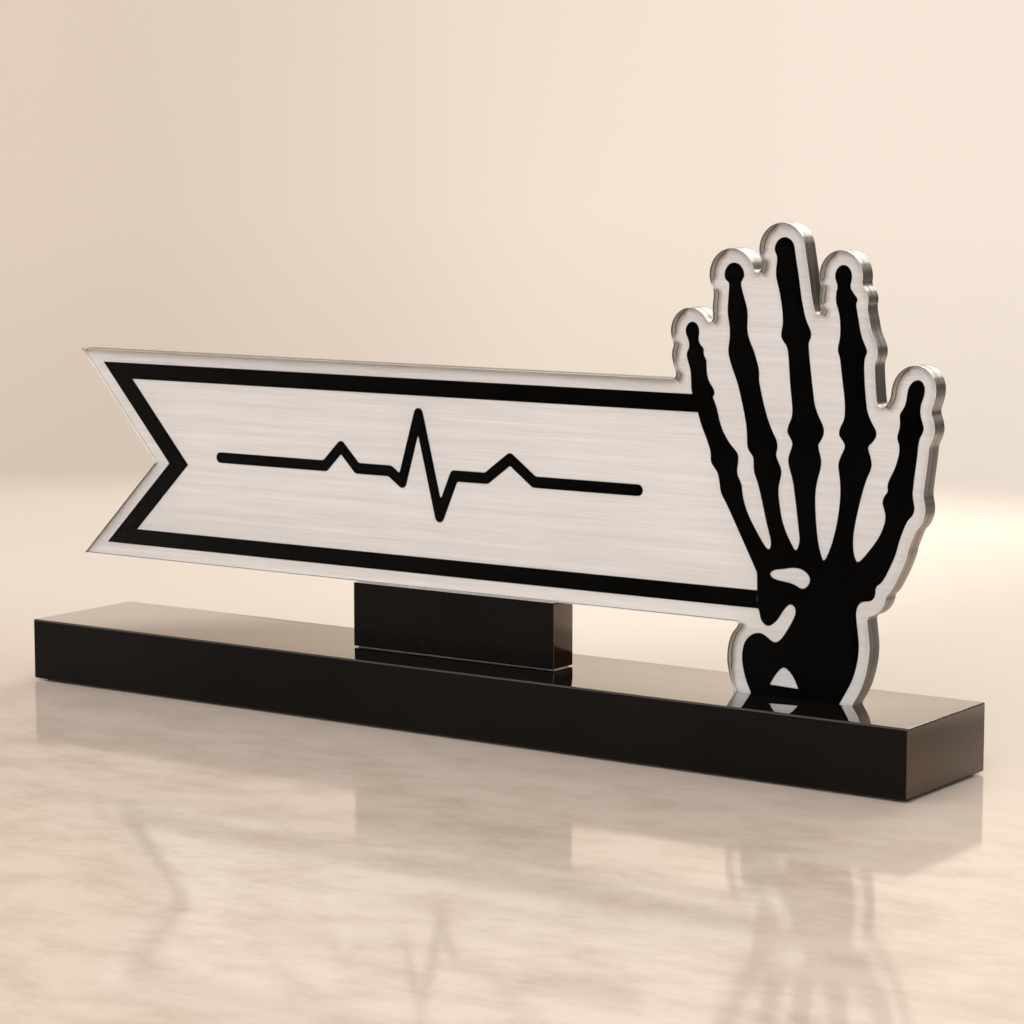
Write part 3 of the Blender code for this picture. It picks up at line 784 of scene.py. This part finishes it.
@once
def clear_mounting_tape(name):
    """Clear foam tape: milky, with a fine cell."""
    made, tree, output, place = new_finish(name)
    cells = noise(tree, place, scale=2500.0)
    shader = put(tree, "BsdfPrincipled", {"Base Color": blend(tree, cells, *TAPE_TONES),
                                          "Roughness": 0.35,
                                          "Normal": bump(tree, cells, 0.02 * MM)})
    tree.links.new(shader.outputs[0], output.inputs[0])
    return made


FINISHES = {"silver": silver_face, "film": black_cut_film, "clear": clear_cover,
            "bonded": bonded_face, "cut edge": cut_edge, "bright arris": bright_arris,
            "polished": polished_black, "satin": satin_black, "end": end_black,
            "black arris": black_arris, "tape": clear_mounting_tape}


# Pieces

def low_high(node):
    """A CAD node's corners as two arrays."""
    return tuple(np.array(corner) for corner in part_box(node))


def make_plate():
    """The stack of sheets, front to back, each filling its layer of the plate."""
    outline = fine_line(turned(cut_lines("front_sheet", 1)[0]))
    film_front, film_back = (corner[1] for corner in low_high("hand_bones"))
    cover_front = low_high("front_sheet")[0][1]
    back_front, back_back = (corner[1] for corner in low_high("back_sheet"))

    section = round_over(cover_front, film_front - HAIR, (PLATE_ARRIS, SHEET_ARRIS),
                         "bright arris", "cut edge", "cut edge")
    cover = sheet("clear_cover", [outline], section, "clear", "bonded")
    fit(cover, "clear_acrylic", "front_sheet")

    section = round_over(film_back + HAIR, back_front - HAIR, (SHEET_ARRIS, SHEET_ARRIS),
                         "cut edge", "cut edge", "cut edge")
    front = section[0][1]
    # The silver's outer rim takes the cut edge's dark colour: painted shade at the cover's edge.
    section = [(SILVER_RIM, front, "silver"), (DARK_RIM, front, "cut edge"), *section]
    silver = sheet("brushed_silver_face", [outline], section, "silver", "silver")
    shade_from_left(silver, outline)
    fit(silver, "brushed_silver", "silver_sheet")

    section = round_over(back_front, back_back, (SHEET_ARRIS, PLATE_ARRIS),
                         "cut edge", "cut edge", "black arris")
    backing = sheet("black_backing", [outline], section, "polished", "polished")
    fit(backing, "black_acrylic", "back_sheet")


def cut_shape(name, node, reach=0.0):
    """A thin black shape behind the cover. Its ends beside the hand reach that much further."""
    front, back = (corner[1] for corner in low_high(node))
    lines = cut_lines(node, 1)
    outer = turned(lines[0])
    if reach:
        ends = outer[:, 0] > low_high("hand_bones")[0][0] - BESIDE_HAND
        outer[ends, 0] += reach
    lines = [outer, *(turned(line, clockwise=True) for line in lines[1:])]
    lines = [fine_line(line) for line in lines]
    section = round_over(front, back, (FILM_ARRIS, FILM_ARRIS), "film", "film", "film")
    return fit(sheet(name, lines, section, "film", "film"), "black_film", node)


def make_bar():
    """The bar: a rounded rectangle with rounded-over edges and a slot that holds the wrist."""
    low, high = low_high("base_bar")
    low[2] = low_high("desk_pad")[1][2] + HAIR
    line = rounded_rectangle(low[:2], high[:2], BAR_CORNER)
    section = round_over(low[2], high[2], (BAR_ARRIS, BAR_ARRIS),
                         "satin", ("satin", "end"), "black arris")
    slot = turned(cut_lines("base_bar", 2, highest=True)[1], clockwise=True)
    slot_section = [(0.0, high[2], "satin"), (0.0, high[2] - SLOT_FLOOR, "satin")]
    caps = [("satin", [(0, 0)]), ("polished", [(0, len(section) - 1), (1, 0)]),
            ("satin", [(1, 1)])]
    bar = carried("polished_bar", [(line, section), (slot, slot_section)], caps, lying)
    fit(bar, "black_acrylic", "base_bar")


def make_riser():
    """The riser between the bar and the banner, a block of the same black acrylic on clear tape."""
    bar_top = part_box("base_bar")[1][2]
    low, high = low_high("riser_tape")
    line = rounded_rectangle(low[:2], high[:2], TAPE_CORNER)
    section = [(0.0, bar_top + HAIR, "tape"), (0.0, bar_top + TAPE_HEIGHT, "tape")]
    caps = [("tape", [(0, 0)]), ("tape", [(0, 1)])]
    fit(carried("riser_tape_strip", [(line, section)], caps, lying), "clear_tape", "riser_tape")

    low, high = low_high("riser_block")
    low[2] = bar_top + TAPE_HEIGHT + HAIR
    high[2] += RISER_RISE
    line = rounded_rectangle(low[:2], high[:2], RISER_CORNER)
    section = round_over(low[2], high[2], (RISER_ARRIS, RISER_ARRIS),
                         "satin", ("satin", "end"), "satin")
    caps = [("satin", [(0, 0)]), ("polished", [(0, len(section) - 1)])]
    fit(carried("riser", [(line, section)], caps, lying), "black_acrylic", "riser_block")


# Stage

def seen_rays(tree):
    """1 for rays that show a thing to the camera, in a mirror or through glass."""
    path = put(tree, "LightPath").outputs
    seen = maths(tree, "MAXIMUM", path["Is Camera Ray"], path["Is Glossy Ray"])
    return maths(tree, "MAXIMUM", seen, path["Is Transmission Ray"])


def stage_card(name, corners):
    """A flat card on the stage, through its corners."""
    mesh = bpy.data.meshes.new(name)
    mesh.from_pydata(corners, [], [tuple(range(len(corners)))])
    card = new_object(name, mesh)
    return card


def make_floor():
    """A flat pale floor, glossy enough for a faint reflection, that runs out into the backdrop."""
    half = FLOOR_SIZE / 2
    floor = stage_card("floor", [(-half, -half, 0), (half, -half, 0),
                                 (half, half, 0), (-half, half, 0)])
    made, tree, output, place = new_finish("pale_floor")
    grain = stretched(tree, place, GRAIN_SIZES)
    grain = noise(tree, grain, detail=7.0, roughness=0.66)
    across, along, _ = parts(tree, place)
    near = spread(tree, along, *GRAIN_NEAR, GRAIN_FAR_SHARE, 1.0, smooth=True)
    share = maths(tree, "MULTIPLY", spread(tree, grain, 0.42, 0.66), near)
    colour = blend(tree, share, FLOOR_COLOUR, FLOOR_GRAIN)
    # Painted light and shade behind the object: paler on the left, darker on the right.
    right = spread(tree, across, *RIGHT_RANGE, smooth=True)
    back = blend(tree, right, FLOOR_BACK, FLOOR_RIGHT)
    colour = blend(tree, spread(tree, along, *BACK_RANGE, smooth=True), colour, back)
    rough = spread(tree, grain, 0.3, 0.7, 0.06, 0.11)
    surface = put(tree, "BsdfPrincipled", {"Base Color": colour, "Roughness": rough, "IOR": 1.5})
    from_pool = put(tree, "VectorMath", {0: place, 1: POOL_CENTRE}, operation="DISTANCE")
    far = spread(tree, from_pool.outputs["Value"], *POOL_EDGE, smooth=True)
    sight = put(tree, "VectorMath", {0: place, 1: CAMERA_PLACE}, operation="SUBTRACT")
    sight = put(tree, "VectorMath", {0: sight.outputs[0]}, operation="NORMALIZE")
    tone = use(tree, backdrop_tone(), sight.outputs[0])["Color"]
    backdrop = put(tree, "Emission", {"Color": tone, "Strength": 1.0})
    share = maths(tree, "MULTIPLY", far, seen_rays(tree))
    shown = put(tree, "MixShader", {0: share, 1: surface.outputs[0], 2: backdrop.outputs[0]})
    tree.links.new(shown.outputs[0], output.inputs[0])
    floor.data.materials.append(made)


def make_world():
    """Plain soft light from all round, more of it from in front.

    Behind the object, the backdrop's own colour is seen.
    """
    world = bpy.data.worlds.new("studio")
    world.use_nodes = True
    bpy.context.scene.world = world
    tree = world.node_tree
    tree.nodes.clear()
    direction = tree.nodes.new("ShaderNodeTexCoord").outputs["Generated"]
    tone = use(tree, backdrop_tone(), direction)["Color"]
    depth = parts(tree, direction)[1]
    level = spread(tree, depth, *FRONT_RANGE, ROOM_LEVEL, FRONT_LEVEL, smooth=True)
    path = put(tree, "LightPath").outputs
    mirrored = maths(tree, "SUBTRACT", path["Is Glossy Ray"], path["Is Transmission Ray"])
    level = maths(tree, "MULTIPLY", level, between(tree, mirrored, 1.0, MIRROR_SHARE))
    soft = put(tree, "Background", {"Color": ROOM_COLOUR, "Strength": level})
    seen = put(tree, "Background", {"Color": tone, "Strength": 1.0})
    behind = maths(tree, "MULTIPLY", seen_rays(tree), spread(tree, depth, *BEHIND_RANGE))
    shown = put(tree, "MixShader", {0: behind, 1: soft.outputs[0], 2: seen.outputs[0]})
    output = tree.nodes.new("ShaderNodeOutputWorld")
    tree.links.new(shown.outputs[0], output.inputs[0])


def make_lamp(name, place, aim, width, height, radiance, colour):
    """An area lamp whose face has that radiance: its power is that times pi times its area."""
    data = bpy.data.lights.new(name, "AREA")
    data.shape = "RECTANGLE"
    data.size, data.size_y = width, height
    data.energy = radiance * math.pi * width * height
    data.color = colour
    lamp = new_object(name, data)
    lamp.location = place
    lamp.rotation_euler = (Vector(aim) - Vector(place)).to_track_quat("-Z", "Y").to_euler()


def make_black_card():
    """A black card behind the object at the right, which only glossy surfaces see."""
    name = "right_flag"
    card = stage_card(name, [(CARD_LEFT, CARD_DEPTH, CARD_LOW),
                             (CARD_RIGHT, CARD_DEPTH, CARD_LOW),
                             (CARD_RIGHT, CARD_DEPTH, CARD_HIGH),
                             (CARD_LEFT, CARD_DEPTH, CARD_HIGH)])
    card.visible_camera = False
    card.visible_diffuse = False
    card.visible_transmission = False
    card.visible_shadow = False
    made, tree, output, _ = new_finish(name)
    shader = put(tree, "BsdfDiffuse", {"Color": CARD_COLOUR})
    tree.links.new(shader.outputs[0], output.inputs[0])
    card.data.materials.append(made)


def make_camera():
    """The camera, from its measured place, turn and dip."""
    data = bpy.data.cameras.new("camera")
    data.lens = CAMERA_LENS
    data.sensor_width = SENSOR
    data.clip_start = CAMERA_NEAR
    camera = new_object("camera", data)
    camera.location = CAMERA_PLACE
    camera.rotation_euler = (math.radians(90 - CAMERA_DIP), 0, math.radians(CAMERA_TURN))
    bpy.context.scene.camera = camera


def main():
    """Make the pieces, then the stage. The desk pad stays as it is."""
    make_plate()
    cut_shape("hand_of_bones", "hand_bones")
    cut_shape("black_border", "border_band", reach=BORDER_REACH)
    cut_shape("pulse_trace", "pulse_line")
    make_bar()
    make_riser()
    make_floor()
    make_world()
    for lamp in LAMPS:
        make_lamp(*lamp)
    make_black_card()
    make_camera()
    bpy.context.scene.view_settings.view_transform = "Standard"


main()
